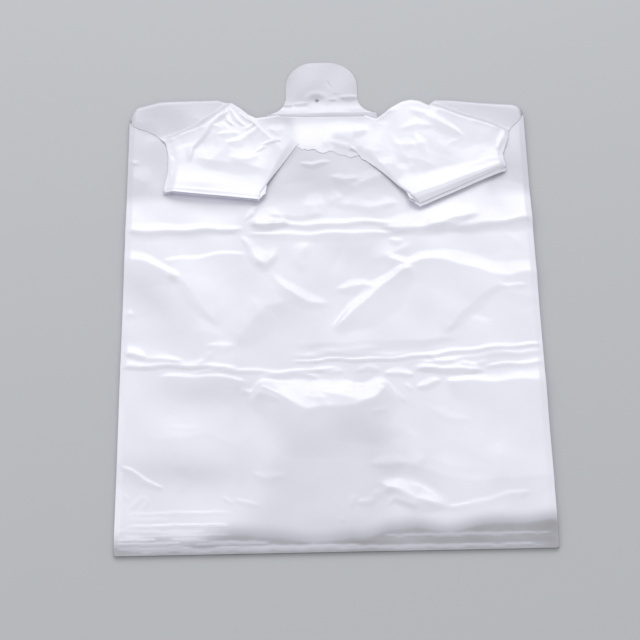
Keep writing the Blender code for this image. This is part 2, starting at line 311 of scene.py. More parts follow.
# The front puffs up over a run from each side and from the hem. These shares of puff and of relief stay there
PUFF = 2.4
SIDE_RUN = 5.5
HEM_RUN = 24.0
PUFF_AT_SIDE = 0.5
RELIEF_AT_SIDE = 0.75
RELIEF_AT_HEM = 0.2
# Long low waves of the loose film
SLACK_WAVES = ((0.3, 15, 23, 0.6), (0.27, 12, -17, 2.1), (0.15, 8, 7, 4.0))
# What is folded down presses the front: from where up, by what share under the collar, and beside it by what
# share of that
PRESSED_FROM = 310.0
PRESSED_BY_COLLAR = 0.8
PRESSED_BESIDE = 0.2
# Place of the collar on the front: its middle, its half width, and the width over which its weight fades
COLLAR_MIDDLE = 6.0
COLLAR_HALF = 34.0
COLLAR_FADE = 10.0
# Small folds: how many there are, the seed of their draws, and two corners of the place they lie in
BODY_SMALL = (70, 7, (-HALF + 8, 18), (HALF - 8, FOLD_LINE))
FLAP_SMALL = (40, 11, (-120, 268), (135, 338))
# Spread of their headings and of their bends, and their fading ends. Then the least and the most of half
# their length, of their reach, of their steepness, and of the lower slope as a share of the upper one
SMALL_HEADING = 0.9
SMALL_BEND = 2.0
SMALL_ENDS = 0.4
SMALL_HALF = (6, 24)
SMALL_REACH = (2.5, 14.0)
SMALL_STEEPNESS = (-0.05, 0.08)
SMALL_LEAN = (0.5, 2.0)
# Beads of the heat seals
WELD_HEIGHT = 0.3
WELD_REACH = 0.9


def small_folds(x, y, count, seed, low, high):
    """Short faint creases in all directions inside a box, as thin film always keeps."""
    rng = np.random.default_rng(seed)
    height = np.zeros(x.shape)
    for _ in range(count):
        centre = rng.uniform(low, high)
        heading = rng.normal(0.0, SMALL_HEADING)
        half = rng.uniform(*SMALL_HALF) * np.array([math.cos(heading), math.sin(heading)])
        points = (centre - half, centre + rng.normal(0.0, SMALL_BEND, 2), centre + half)
        reach = rng.uniform(*SMALL_REACH)
        tall = rng.uniform(*SMALL_STEEPNESS) * reach
        height += crease(x, y, points, tall, reach, reach * rng.uniform(*SMALL_LEAN), SMALL_ENDS)
    return height


def hem_lines(x, y):
    """Height of the lines pressed along the hem, which waver a little."""
    waver = y + waves(x, y, HEM_WAVER)
    return sum(crease(x, waver, ((left, at), (right, at)), tall, *HEM_SLOPES)
               for at, left, right, tall in HEM_LINES)


def weld(away):
    """Raised bead of a heat seal."""
    return WELD_HEIGHT * bump(away, WELD_REACH)


def pressed(x, y):
    """How much what is folded down presses the front flat, most of all under the collar."""
    under_collar = ease(np.abs(x - COLLAR_MIDDLE), COLLAR_HALF, COLLAR_HALF - COLLAR_FADE)
    return PRESSED_BY_COLLAR * ease(y, PRESSED_FROM, FOLD_LINE) * mix(PRESSED_BESIDE, 1, under_collar)


def body_height(x, y):
    """How far the front lies above a pressed stack."""
    edge = smooth((HALF - np.abs(x)) / SIDE_RUN)
    hem = smooth(y / HEM_RUN)
    relief = waves(x, y, SLACK_WAVES) + relief_of(x, y, UPPER_CREASE + LOWER_CREASE + SLACK_FOLDS)
    relief += small_folds(x, y, *BODY_SMALL)
    height = PUFF * hem * mix(PUFF_AT_SIDE, 1, edge)
    height += relief * mix(RELIEF_AT_HEM, 1, hem) * mix(RELIEF_AT_SIDE, 1, edge)
    height += hem_lines(x, y) + weld(y - SEAL_HEIGHT)
    return np.maximum(height * (1 - pressed(x, y)), 0.0)


# Places of the fold line above its middle, from left to right
FOLD_PLACES = (
    (-150, -5), (-148.5, 1), (-145, 6.5), (-128, 11), (-100, 12), (-84, 12), (-74, 8), (-66, 2), (-60, -3.5),
    (-54, -6.5), (-46, -5), (-38, -3.5), (30, -3.5), (38, -8), (45, -3.5), (52, 2), (58, 5.5), (65, 7),
    (72, 5.5), (79, 1), (83, 8), (100, 7.5), (125, 5), (143, 3), (148, 0.5), (150, -5),
)
# Length of film in the bend, and how far below the fold line the stack starts to follow those places
BEND_LENGTH = 5.0
SHOULDER_REACH = 30.0

# Middle of each handle's end when it lies folded, and its turn in degrees
LEFT_END = (-87.0, 268.5, -6.9)
RIGHT_END = (100.5, 274.0, 23.8)
# Length of film past the fold line in which the handles, and their outer edges, come to lie there
SETTLE = 50.0
SETTLE_OUTER = 24.0
# Where each handle's outer edge lies when folded: pattern height, then place
LEFT_OUTER = (
    (345, -149.6, 334), (358, -140, 329), (370, -129, 322.5), (381, -121.5, 315), (395, -119.5, 304),
    (412, -119.5, 291), (434, -122.7, 272.8),
)
RIGHT_OUTER = (
    (345, 149.6, 332), (358, 143, 327), (370, 137.5, 321), (380, 136.5, 314), (390, 134, 307),
    (402, 131.5, 300), (418, 132, 295), (434, 133.4, 288.5),
)


def shoulder(u):
    """How far the fold line lies above its middle, at this place across the bag."""
    return follow(u, FOLD_PLACES)


def outer_edge(t, points):
    """Where a handle's outer edge lies when folded, for a pattern height."""
    heights, across, up = zip(*points)
    return np.interp(t, heights, across), np.interp(t, heights, up)


def fold_over(u, t):
    """Where film from above the fold line lies when it is folded down, without the fold's own bulge."""
    beyond = t - FOLD_LINE
    left = u < 0
    inner = np.clip(u, -HANDLE_INNER, HANDLE_INNER)
    end = np.where(left[:, None], LEFT_END, RIGHT_END)
    turn = np.radians(end[:, 2])
    across = inner - np.where(left, -1.0, 1.0) * (HANDLE_INNER + HANDLE_WIDTH / 2)
    up = TUBE_TOP - t
    laid_x = end[:, 0] + across * np.cos(turn) - up * np.sin(turn)
    laid_y = end[:, 1] + across * np.sin(turn) + up * np.cos(turn)
    share = smooth(beyond / SETTLE) * np.abs(inner) / HANDLE_INNER
    flat_y = FOLD_LINE + shoulder(inner) - np.maximum(beyond - BEND_LENGTH, 0.0)
    x, y = mix(inner, laid_x, share), mix(flat_y, laid_y, share)

    outward = (np.abs(u) - np.abs(inner)) / HANDLE_WIDTH
    left_x, left_y = outer_edge(t, LEFT_OUTER)
    right_x, right_y = outer_edge(t, RIGHT_OUTER)
    settled = smooth(beyond / SETTLE_OUTER)
    out_x = mix(u - inner, outward * (np.where(left, left_x, right_x) - x), settled)
    out_y = mix(shoulder(u) - shoulder(inner), outward * (np.where(left, left_y, right_y) - y), settled)
    return x + out_x, y + out_y


# Creases of what is folded down, where it lies: as the creases of the body
FLAP_FOLDS = (
    # Left: the roll along its outer side, gathers that fan out from the fold, and facets
    (((-116, 320), (-95, 330), (-79, 344)), 1.3, 3, 15, 0.15),
    (((-74, 345), (-84, 333), (-94, 320.5), (-101, 309), (-104, 297)), 1.3, 3, 10, 0.12),
    (((-79, 342), (-75, 334), (-70, 329)), 0.9, 1.6, 1.6, 0.2),
    (((-73, 345), (-69, 336), (-63, 328)), 1.0, 1.6, 2.2, 0.2),
    (((-66, 341), (-61, 334), (-55, 329)), 0.6, 1.6, 2.2, 0.25),
    (((-87, 328), (-80, 328.5), (-73, 327)), 0.6, 1.8, 5, 0.25),
    (((-83, 320.3), (-74, 321.5), (-65, 323)), 0.6, 1.8, 5, 0.25),
    (((-77, 312.5), (-66, 316), (-59, 320)), 0.7, 2.2, 6, 0.25),
    (((-67, 318), (-58, 322), (-51, 328)), 0.5, 1.6, 4, 0.25),
    (((-63, 324.5), (-54, 330)), 0.5, 1.3, 1.5, 0.25),
    (((-49, 311.5), (-42, 314), (-34, 316.8)), 0.7, 1.5, 1.8, 0.2),
    (((-55, 305.5), (-49, 309), (-44, 310.8)), 0.6, 1.4, 1.6, 0.2),
    (((-75, 303), (-66, 298.5), (-58, 299.5), (-49, 307)), 0.6, 9, 6, 0.25),
    (((-102, 300), (-85, 299), (-70, 297), (-44, 290)), 0.8, 18, 10, 0.2),
    (((-119, 306), (-117, 294), (-118, 284)), 0.6, 3, 3, 0.25),
    # Right: roll line, the line below the shoulder, the outer corner, and short creases
    (((62, 342), (75, 336), (86, 329.5), (105, 313)), 0.8, 3.5, 9, 0.2),
    (((79, 344), (104, 333), (134, 321)), 1.7, 3, 26, 0.15),
    (((106, 334), (113, 330.5), (122, 327.5), (132, 325)), 0.6, 2.5, 4, 0.2),
    (((134, 323), (132, 312), (127, 302)), 0.9, 4, 4, 0.2),
    (((53, 323), (68, 326.5), (83, 325.5)), 0.5, 5, 5, 0.3),
    (((49, 312), (56, 309.5), (69, 310)), 0.4, 7, 6, 0.3),
    # Collar between the flaps
    (((-1, 309), (1, 317), (5, 322), (14, 324), (34, 325)), 0.9, 9, 9, 0.15),
    (((2, 316), (12, 311), (23, 305)), 0.9, 1.8, 2.0, 0.15),
    (((-46, 327), (-38, 325), (-30, 328)), 0.4, 5, 5, 0.3),
)
# Line on which each handle rises from the pressed shoulder, with the handle on its left
LEFT_ROLL = ((-60, 360), (-77, 348), (-95, 331), (-119, 321.5), (-160, 311))
RIGHT_ROLL = ((160, 311), (130, 325), (104, 335), (80, 346), (62, 356))
# How far a handle rises there, over what run, and how much of that it has on the line itself
ROLL_RISE = 1.6
ROLL_RUN = 6.0
ROLL_HEAD = 0.3
# The collar is what lies within this distance of the tab's middle line, and the handles start over this run
COLLAR_REACH = 24.0
HANDLE_START = 40.0

# Gap below what is folded down, and between its layers, and how loose it is when pressed and at the cut edges
TIGHT = 0.35
LEAF_GAP = 0.22
LOOSE_WHERE_PRESSED = 0.3
LOOSE_AT_CUT = 0.5
# Share of a handle's rise that its lowest layer has, that its outer side has and that its cut edge has
RISE_BELOW = 0.6
RISE_AT_SIDE = 0.25
RISE_AT_CUT = 0.1
LEFT_SIDE_RUN = 9.0
RIGHT_SIDE_RUN = 5.0
# Width over which the cut edges droop, and how that fades between two distances from the handle's end
EDGE_DROOP = 7.0
DROOP_FADE = 0.8
DROOP_FADE_FROM = 55.0
DROOP_FADE_TO = 7.0

# The left handle's end lifts along a slope that starts at these distances from the end, from left to right
LEFT_END_RUN = ((-103, 26), (-92, 24), (-78, 22), (-68, 19), (-60, 16.5))
LEFT_END_SLOPE = 0.13
LEFT_END_ROUNDING = 6.0
# The right handle's end lifts over a run and then curls back down
RIGHT_END_RISE = 3.0
RIGHT_END_RUN = 24.0
RIGHT_END_ROUNDING = 4.0
RIGHT_CURL = 8.0
RIGHT_CURL_DROP = 1.8
# How far the underside of each handle's end shows past its top, and the length of end that does
LEFT_SPLAY = 0.7
RIGHT_SPLAY = 2.6
SPLAY_RUN = 14.0

# Collar below the tab: its bead's height, place and reach, and the lift of its free edge
COLLAR_BEAD = 2.0
BEAD_AT = 339.5
BEAD_REACH = 2.0
COLLAR_LIFT = 0.25
COLLAR_LIFT_FROM = 333.0
COLLAR_LIFT_RUN = 24.0
# Length of film past the fold line over which the creases of what is folded down begin
FLAP_RELIEF_RUN = 12.0


def on_handle(u, run):
    """0 on the collar below the tab, 1 on the handles from this run beside it."""
    return smooth((np.abs(u - TAB_MIDDLE) - COLLAR_REACH) / run)


def past_roll(u, x, y, run):
    """0 outside the line on which the handle on this side rises, 1 from about run past it."""
    rolls = [to_line(x, y, line) for line in (LEFT_ROLL, RIGHT_ROLL)]
    left, right = (smooth(side * away / run + ROLL_HEAD) for away, side, _ in rolls)
    return np.where(u < 0, left, right)


def from_cut(u, t):
    """0 on the cut edge of a handle, 1 past the droop of that edge, which ends near the handle's end."""
    away = np.where(u < 0, to_line(u, t, LEFT_CUT)[0], to_line(u, t, RIGHT_CUT)[0])
    return smooth(away / EDGE_DROOP + DROOP_FADE * ease(TUBE_TOP - t, DROOP_FADE_FROM, DROOP_FADE_TO))


def looseness(u, t, x, y):
    """1 where the folded film lies loose, less on the shoulders, on the collar and at the cut edges."""
    loose = mix(LOOSE_WHERE_PRESSED, 1, on_handle(u, HANDLE_START) * past_roll(u, x, y, ROLL_RUN))
    return loose * mix(LOOSE_AT_CUT, 1, from_cut(u, t))


def soft_ramp(along, rounding):
    """0 before 0 and along after it, with the corner rounded off over this much on each side."""
    return np.where(along > rounding, along, np.clip(along + rounding, 0.0, None) ** 2 / (4 * rounding))


def handle_rise(u, t, x, y):
    """How far a folded handle stands off the pressed film."""
    to_end = np.maximum(TUBE_TOP - t, 0.0)
    left = LEFT_END_SLOPE * soft_ramp(follow(x, LEFT_END_RUN) - to_end, LEFT_END_ROUNDING)
    lift = soft_ramp(RIGHT_END_RUN - to_end, RIGHT_END_ROUNDING) / (RIGHT_END_RUN - RIGHT_CURL)
    curl = np.clip(1 - to_end / RIGHT_CURL, 0.0, 1.0) ** 2
    right = RIGHT_END_RISE * np.minimum(lift, 1.0) - RIGHT_CURL_DROP * curl
    rise = ROLL_RISE * past_roll(u, x, y, ROLL_RUN) + np.where(u < 0, left, right)
    from_side = (HALF - np.abs(u)) / np.where(u < 0, LEFT_SIDE_RUN, RIGHT_SIDE_RUN)
    return rise * mix(RISE_AT_SIDE, 1, smooth(from_side)) * mix(RISE_AT_CUT, 1, from_cut(u, t))


def collar_rise(y):
    """How far the collar below the tab stands off: a bead at the fold, a dip, and a lifted free edge."""
    lifted = np.clip((COLLAR_LIFT_FROM - y) / COLLAR_LIFT_RUN, 0.0, 1.0)
    return COLLAR_BEAD * bump(y - BEAD_AT, BEAD_REACH) + COLLAR_LIFT * lifted


def folded_rise(u, t, x, y):
    """How far a folded-down point stands off the film under it."""
    rise = mix(collar_rise(y), handle_rise(u, t, x, y), on_handle(u, HANDLE_START))
    relief = relief_of(x, y, FLAP_FOLDS) + small_folds(x, y, *FLAP_SMALL)
    rise += relief * smooth((t - FOLD_LINE) / FLAP_RELIEF_RUN) + weld(TUBE_TOP - HANDLE_SEAL_INSET - t)
    return np.maximum(rise, 0.0)


# Creases of the tab
TAB_FOLDS = (
    (((-34, 349.3), (-25, 349.3)), 0.9, 2.6, 4, 0.15),
    (((-25, 350), (-13, 350.4)), 0.5, 1.6, 3, 0.2),
    (((0, 353.8), (8, 354.3)), 0.4, 1.5, 2, 0.25),
    (((10, 355.7), (26, 356)), 0.6, 1.6, 4, 0.15),
    (((1, 371), (5, 363)), -0.2, 0.9, 1.2, 0.25),
    (((4, 357.5), (10, 358)), -0.2, 1.2, 1.2, 0.3),
)
# The tab lies at this height and rises towards the fold in front of it, from its foot over a reach
TAB_LIFT = 0.6
TAB_RISE = 2.6
TAB_FOOT = 337.0
TAB_RISE_REACH = 7.5
TAB_RELIEF_RUN = 4.0
TAB_WAVES = ((0.35, 11, 17, 0.0), (0.2, 5, -8, 0.0))
# Pressed spot round the pin hole: how much wider than high it is, its rim, and the dent inside the rim
SPOT_STRETCH = 1.2
RIM_HEIGHT = 0.3
RIM_RADIUS = 6.0
RIM_REACH = 2.4
DENT_DEPTH = 0.45
DENT_REACH = 2.8
# Lift of the stack just under the fold, below the tab, and half the width it has
SPRING = 1.2
SPRING_REACH = 7.0
SPRING_HALF = 62.0
SPRING_FADE = 20.0


def tab_height(x, y):
    """The tab rises to the fold in front of it and has a pressed spot round the pin hole."""
    from_pin = np.hypot((x - PIN_AT[0]) / SPOT_STRETCH, y - PIN_AT[1])
    spot = RIM_HEIGHT * bump(from_pin - RIM_RADIUS, RIM_REACH) - DENT_DEPTH * bump(from_pin, DENT_REACH)
    relief = spot + relief_of(x, y, TAB_FOLDS) + waves(x, y, TAB_WAVES)
    rise = TAB_RISE * bump(np.maximum(y - TAB_FOOT, 0.0), TAB_RISE_REACH)
    return TAB_LIFT + rise + relief * smooth((y - FOLD_LINE) / TAB_RELIEF_RUN)


def spring(x, y):
    """Lift of the stack just under the fold."""
    near_tab = ease(np.abs(x - TAB_MIDDLE), SPRING_HALF, SPRING_HALF - SPRING_FADE)
    return SPRING * bump(y - FOLD_LINE, SPRING_REACH) * near_tab


# How white the film looks: more layers under it make it whiter, painted shade darkens it in places and
# painted highlights lighten it in places
TAB_WHITE = 0.22
TAB_BASE_WHITE = 0.55
TAB_BASE_TOP = 353.0
TAB_BASE_FADE = 7.0
BODY_WHITE = 0.88
GUSSET_WHITER = 0.06
# Painted shade on the shoulders, outside the lines on which the handles rise
SHOULDER_WHITE_PAINTED_SHADE = 0.30
FLAP_WHITE = 0.88
LEFT_FLAP_THINNER = 0.16
RIGHT_FLAP_THINNER = 0.08
COLLAR_WHITE = 0.84
# Painted shade on the collar's sides
COLLAR_SIDE_WHITE_PAINTED_SHADE = 0.52
# Painted shade on the front in its upper corners and in the arch between the handles; the front is also
# greyer in a column above the hem
CORNER_PAINTED_SHADE = 0.46
ARCH_PAINTED_SHADE = 0.38
COLUMN_GREYER = 0.20
# Where these and the whiter gussets begin and are full, across from the middle and up
GUSSET_ACROSS = (64, 78)
CORNER_ACROSS = (112, 124)
CORNER_UP = (262, 274)
ARCH_ACROSS = (62, 42)
ARCH_UP = (258, 278)
COLUMN_ACROSS = (56, 30)
COLUMN_UP = (108, 74)
COLUMN_MIDDLE = -4.0
COLUMN_WAVER = ((7, math.inf, 19, 1.0), (2.5, 25, 6, 0.0))
COLUMN_TOP_WAVER = ((5, 13, math.inf, 0.0),)
# Where the gusset begins and is full on a handle, and the run over which the handles' whiteness starts
GUSSET_ON_HANDLE = (HANDLE_INNER - 8, HANDLE_INNER + 6)
HANDLE_WHITE_START = 30.0
# Where the painted shade on the collar's sides ends and its whiteness is full, and where painted shade makes
# it less, at its lower right
COLLAR_LEFT = (-30, -21)
COLLAR_RIGHT = (42, 30)
COLLAR_PAINTED_SHADE = 0.7
COLLAR_PAINTED_SHADE_ACROSS = (2, 7)
COLLAR_PAINTED_SHADE_UP = (324, 319)
# The thin strip along the hem: the share of whiteness it has, how white the painted highlight on its pressed
# lines is, and its height
HEM_WHITE = 0.06
HEM_LINE_PAINTED_HIGHLIGHT = 0.8
HEM_STRIP = 11.0
# Where the strip gets taller and by how much, its bumps as place, height and reach, and how its top fades
HEM_TOP_WAVER = ((1, 7.3, math.inf, 0.0),)
HEM_STEPS = ((16, 38, 8), (90, 130, 3))
HEM_BUMPS = ((-62, 6, 20), (72, -3, 14))
HEM_FADE_BELOW = 6.0
HEM_FADE_ABOVE = 7.0
# Places of painted shade on the front: middle, reach across and up, turn in degrees, how much
PAINTED_SHADE_PLACES = (
    ((-130, 190), (34, 13), -38, 0.32),
    ((-138, 158), (30, 8), 0, 0.10),
    ((-88, 116), (28, 13), 0, 0.30),
    ((-106, 57), (46, 12), -4, 0.32),
    ((-42, 168), (30, 11), 38, 0.10),
    ((14, 224), (30, 12), 0, 0.14),
    ((96, 174), (34, 9), 48, 0.10),
    ((30, 82), (20, 22), 0, 0.05),
)
# Painted shadow in strips of the front beside the folded handles' cut edges: line, half width and how much
PAINTED_SHADOW_STRIPS = (
    (((24, 307), (64, 264)), 3.2, 0.32),
    (((-24, 308), (-54, 264)), 2.6, 0.22),
)


def painted_shadow_and_shade(x, y):
    """How much the painted shadow of the strips and the painted shade of the places darken the film."""
    shadow_and_shade = sum(much * bump(to_line(x, y, line)[0], reach) for line, reach, much in PAINTED_SHADOW_STRIPS)
    for (middle_x, middle_y), (across, up), turn, much in PAINTED_SHADE_PLACES:
        cos, sin = math.cos(math.radians(turn)), math.sin(math.radians(turn))
        right = ((x - middle_x) * cos + (y - middle_y) * sin) / across
        high = ((y - middle_y) * cos - (x - middle_x) * sin) / up
        shadow_and_shade += much * bump(np.hypot(right, high), 1.0)
    return shadow_and_shade


def grey_column(x, y):
    """1 in the greyer column above the hem, with wavering sides and top."""
    from_middle = np.abs(x - COLUMN_MIDDLE + waves(x, y, COLUMN_WAVER))
    return ease(y - waves(x, y, COLUMN_TOP_WAVER), *COLUMN_UP) * ease(from_middle, *COLUMN_ACROSS)


def hem_top(x, y):
    """Height of the thin strip along the hem, which is uneven and taller in places."""
    steps = sum(taller * ease(x, start, end) for start, end, taller in HEM_STEPS)
    bumps = sum(taller * bump(x - at, reach) for at, taller, reach in HEM_BUMPS)
    return HEM_STRIP + waves(x, y, HEM_TOP_WAVER) + steps + bumps


def body_white_and_painted_light(x, y):
    """Whiteness of the front below the fold line, with painted shade in places and a painted highlight on the
    hem's pressed lines.
    """
    from_middle = np.abs(x)
    # Painted shade and shadow: the places, the strips, the upper corners and the arch darken the front
    white = BODY_WHITE + GUSSET_WHITER * ease(from_middle, *GUSSET_ACROSS) - painted_shadow_and_shade(x, y)
    white -= CORNER_PAINTED_SHADE * ease(y, *CORNER_UP) * ease(from_middle, *CORNER_ACROSS)
    white -= ARCH_PAINTED_SHADE * ease(y, *ARCH_UP) * ease(from_middle, *ARCH_ACROSS)
    white -= COLUMN_GREYER * grey_column(x, y)
    top = hem_top(x, y)
    above_hem = ease(y, top - HEM_FADE_BELOW, top + HEM_FADE_ABOVE)
    # Painted highlight: the hem's pressed lines get whiter the higher they stand
    return white * mix(HEM_WHITE, 1, above_hem) + HEM_LINE_PAINTED_HIGHLIGHT * hem_lines(x, y)


def folded_white_and_painted_light(u, x, y):
    """Whiteness of what is folded down: painted shade on the shoulders, white handles, and a collar with
    painted shade on its sides and at its lower right.
    """
    no_gusset = 1 - ease(np.abs(u), *GUSSET_ON_HANDLE)
    thinner = np.where(u < 0, LEFT_FLAP_THINNER, RIGHT_FLAP_THINNER) * no_gusset
    handles_and_painted_shade_shoulders = mix(SHOULDER_WHITE_PAINTED_SHADE, FLAP_WHITE - thinner, past_roll(u, x, y, 2 * ROLL_RUN))
    # Painted shade on the collar's sides and at its lower right
    collar_unshaded = ease(x, *COLLAR_LEFT) * ease(x, *COLLAR_RIGHT)
    collar_unshaded *= 1 - COLLAR_PAINTED_SHADE * ease(x, *COLLAR_PAINTED_SHADE_ACROSS) * ease(y, *COLLAR_PAINTED_SHADE_UP)
    collar = mix(COLLAR_SIDE_WHITE_PAINTED_SHADE, COLLAR_WHITE, collar_unshaded)
    return mix(collar, handles_and_painted_shade_shoulders, on_handle(u, HANDLE_WHITE_START))


def stack_height(layer, x, y):
    """Height of a layer of the stack above its lowest one."""
    return layer * (PITCH + body_height(x, y) / FRONT_LAYER) + spring(x, y)


def fold_sides(p, front):
    """Place across the bag and layer of pattern points, once the gusset leaves are folded in."""
    side = np.where(p < 0, -1.0, 1.0)
    over = np.abs(p) - SIDE_FOLD
    angle = np.clip(over / TURN, 0.0, math.pi)
    inward = np.maximum(over - TURN_LENGTH, 0.0)
    u = np.where(over < 0, p, side * (SIDE_FOLD + TURN * np.sin(angle) - inward))
    turned = (1 - np.cos(angle)) / 2 + LEAF_MEET * ease(inward, GUSSET_DEPTH - 1, GUSSET_DEPTH)
    return u, FRONT_LAYER - turned if front else turned


def fold_down(u, t, layer, front):
    """Places and whiteness of the film that is folded over the fold line, its painted shade included."""
    x, y = fold_over(u, t)
    if front:
        y -= np.where(u > 0, RIGHT_SPLAY, LEFT_SPLAY) * np.clip(1 - (TUBE_TOP - t) / SPLAY_RUN, 0.0, 1.0)
    low = stack_height(layer, u, FOLD_LINE + shoulder(u))
    above = FRONT_LAYER - layer
    high = stack_height(FRONT_LAYER, x, y) + (TIGHT + LEAF_GAP * above) * looseness(u, t, x, y)
    high += folded_rise(u, t, x, y) * mix(RISE_BELOW, 1, above / FRONT_LAYER)
    bend = np.clip((t - FOLD_LINE) / BEND_LENGTH, 0.0, 1.0) * math.pi
    bulge = (high - low) / 2 * np.sin(bend)
    return x, y + bulge, low + (high - low) * (1 - np.cos(bend)) / 2, folded_white_and_painted_light(u, x, y)


def shape_bag(p, t, front, tab):
    """Places pattern points of the front or of the back, and says how white the film looks there, painted
    shade and highlights included.
    """
    u, layer = fold_sides(p, front)
    x = u.copy()
    y = t + shoulder(u) * ease(t, FOLD_LINE - SHOULDER_REACH, FOLD_LINE)
    z = stack_height(layer, x, y)
    white = body_white_and_painted_light(x, y)

    y[tab] = t[tab]
    z[tab] = tab_height(x[tab], y[tab])
    white[tab] = mix(TAB_WHITE, TAB_BASE_WHITE, ease(y[tab], TAB_BASE_TOP, TAB_BASE_TOP - TAB_BASE_FADE))

    down = (t > FOLD_LINE) & ~tab
    x[down], y[down], z[down], white[down] = fold_down(u[down], t[down], layer[down], front)
    return np.stack([x, y - LENGTH / 2, z + GROUND], axis=1), white


def arc(centre, radius, start, end, steps):
    """Points of an arc between two angles in degrees."""
    angles = np.radians(np.linspace(start, end, steps + 1))
    return [(centre[0] + radius * math.cos(a), centre[1] + radius * math.sin(a)) for a in angles]


def tab_edge():
    """Outline of the tab, from the fold line on the right round to the fold line on the left."""
    right = arc((TAB_HALF + TAB_FLARE, FOLD_LINE + TAB_FLARE), TAB_FLARE, 270, 180, 12)
    right += arc((TAB_HALF - TAB_CORNER, LENGTH - TAB_CORNER), TAB_CORNER, 0, 90, 14)
    both = right + [(-x, y) for x, y in reversed(right)]
    return [(x + TAB_MIDDLE, y) for x, y in both]


def sides_outline(cut_edge):
    """A sheet with both its gusset leaves, closed at the top by the given edge from right to left."""
    leaf_top = TUBE_TOP - LEAF_SLOPE
    right = [(INNER_END, 0.0), (INNER_END, leaf_top), (LEAF_EDGE, TUBE_TOP)]
    left = [(-LEAF_EDGE, TUBE_TOP), (-INNER_END, leaf_top), (-INNER_END, 0.0)]
    return right + list(cut_edge) + left


def front_outline():
    """The front ends at the handles' cut edges and at the torn mouth."""
    return sides_outline(tuple(reversed(RIGHT_CUT)) + MOUTH_EDGE + LEFT_CUT)


def back_outline():
    """The back reaches up to the handles' cut edges, which meet the tab's sides."""
    rim = [(x, y) for x, y in tab_edge() if y > RIM_START]
    right = [(TAB_MIDDLE + TAB_HALF, RIGHT_JOIN)]
    left = [(TAB_MIDDLE - TAB_HALF, LEFT_JOIN)]
    return sides_outline(list(reversed(RIGHT_CUT)) + right + rim + left + list(LEFT_CUT))


def split(points, step):
    """A line of points with no stretch longer than step, without its last point."""
    made = []
    for (ax, ay), (bx, by) in zip(points, points[1:]):
        count = max(1, round(math.hypot(bx - ax, by - ay) / step))
        made += [(ax + (bx - ax) * i / count, ay + (by - ay) * i / count) for i in range(count)]
    return made


def grid(low, high, step):
    """Staggered points that fill a box."""
    rows = np.arange(low[1], high[1], step * 0.866)
    made = []
    for i, row in enumerate(rows):
        across = np.arange(low[0] + step / 2 * (i % 2), high[0], step)
        made.append(np.stack([across, np.full(across.shape, row)], axis=1))
    return np.concatenate(made)


def inside(points, outline):
    """Which points lie inside the outline."""
    x, y = points[:, 0], points[:, 1]
    found = np.zeros(len(points), bool)
    for (ax, ay), (bx, by) in zip(outline, outline[1:] + outline[:1]):
        if ay != by:
            crosses = (ay > y) != (by > y)
            found ^= crosses & (x < (bx - ax) * (y - ay) / (by - ay) + ax)
    return found


# Distances between the points of the meshes: on the front, on plain parts, on what is folded down and on its
# upper side, on the bend of the front and of the back, and along outlines, slits and side folds
FRONT_STEP = 1.4
PLAIN_STEP = 6.0
FOLDED_STEP = 2.0
UPPER_STEP = 1.1
FRONT_BEND_STEP = 2.0
BACK_BEND_STEP = 1.5
EDGE_STEP = 2.0
SLIT_STEP = 1.5
COLUMN_STEP = 3.0
# Columns of points in the turn of a side fold, one on each side of it, and rows of points in the top fold
TURN_COLUMNS = 5
BEFORE_TURN = 1.5
AFTER_TURN = 2.0
BEND_ROWS = 8
# How far the filling points keep from outlines, lines, the sides of a sheet, its side folds and its ends
EDGE_CLEARANCE = 0.4
LINE_CLEARANCE = 0.3
SIDE_CLEARANCE = 2.0
LEAF_CLEARANCE = 4.0
END_CLEARANCE = 1.0
# Points closer together than this become one, and points closer to the fold line than this lie on it
MERGE = 1e-4
ON_LINE = 0.01


def middles_of(flat, faces):
    """Middle of each face of a flat pattern."""
    return np.array([flat[list(face)].mean(axis=0) for face in faces])


def fill_pattern(outline, fills, lines):
    """Fills an outline with triangles. Lines are open runs of points that edges must follow."""
    closed = outline + outline[:1]
    edge = split(closed, EDGE_STEP)
    points = np.concatenate(fills)
    keep = inside(points, outline) & (to_line(points[:, 0], points[:, 1], closed)[0] > EDGE_CLEARANCE)
    for line in lines:
        keep &= to_line(points[:, 0], points[:, 1], line)[0] > LINE_CLEARANCE
    verts = [Vector(p) for p in edge]
    edges = [(i, (i + 1) % len(edge)) for i in range(len(edge))]
    for line in lines:
        start = len(verts)
        verts += [Vector(p) for p in line]
        edges += [(start + i, start + i + 1) for i in range(len(line) - 1)]
    verts += [Vector(p) for p in points[keep]]
    places, _, faces, *_ = delaunay_2d_cdt(verts, edges, [], 0, MERGE)
    flat = np.array([(v.x, v.y) for v in places])
    return flat, [tuple(face) for face, ok in zip(faces, inside(middles_of(flat, faces), edge)) if ok]


def film_object(name, flat, faces, front, tab):
    """Puts a filled pattern in its place as a piece of film."""
    places, white = shape_bag(flat[:, 0], flat[:, 1], front, tab)
    mesh = bpy.data.meshes.new(name)
    mesh.from_pydata(places * MM, [], faces)
    # This whiteness carries painted shade and painted highlights as well as the layers
    mesh.attributes.new("film_white_and_painted_light", "FLOAT", "POINT").data.foreach_set("value", white.astype(np.float32))
    mesh.validate()
    mesh.shade_smooth()
    piece = bpy.data.objects.new(name, mesh)
    bpy.context.scene.collection.objects.link(piece)
    return piece


def fold_columns():
    """Points along the side folds, close enough together to round them."""
    heights = np.arange(SIDE_CLEARANCE, TUBE_TOP - END_CLEARANCE, COLUMN_STEP)
    columns = [SIDE_FOLD + TURN_LENGTH * k / TURN_COLUMNS for k in range(TURN_COLUMNS + 1)]
    columns += [HALF - BEFORE_TURN, SIDE_FOLD + TURN_LENGTH + AFTER_TURN]
    return np.array([(s * p, t) for p in columns for s in (-1, 1) for t in heights])


